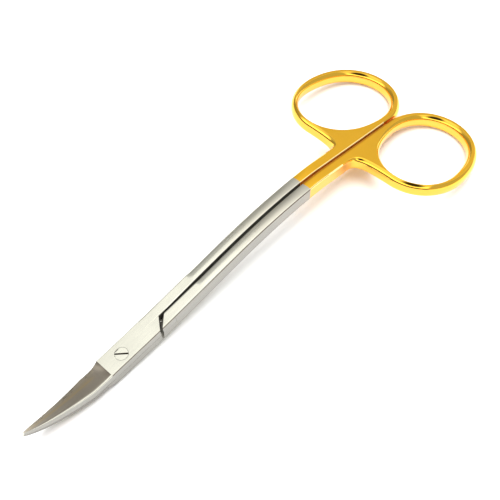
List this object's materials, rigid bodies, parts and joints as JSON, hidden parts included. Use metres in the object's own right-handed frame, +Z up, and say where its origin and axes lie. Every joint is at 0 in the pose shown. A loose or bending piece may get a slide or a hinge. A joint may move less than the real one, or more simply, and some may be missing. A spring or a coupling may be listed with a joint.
{
  "type": "surgical scissors",
  "caption": "Slim surgical scissors with upward-curved pointed blades, an arched shank, a slotted pivot screw and gold-plated oval finger rings.",
  "frame": {"origin": "centre of the bounding box in plan, at the table the closed scissors lie on", "axes": "+X from the blade tips to the finger rings, +Y towards the front half's ring, +Z up from the table"},
  "size_m": [0.1596, 0.0614, 0.0131],
  "materials": {
    "halves": "satin stainless steel, handles and rings gold-plated",
    "screw": "satin stainless steel",
    "inserts": "ground hard metal"
  },
  "bodies": {
    "rear": {"rear_half": "halves", "pivot_screw": "screw", "rear_edge_insert": "inserts"},
    "front": {"front_half": "halves", "front_edge_insert": "inserts"}
  },
  "joints": [
    {"name": "open", "type": "hinge", "parent": "rear", "child": "front", "pos_m": [-0.04827, -0.00035, 0.00354], "axis": [-0.1007, 0, 0.9949], "range_deg": [0, 80]}
  ]
}
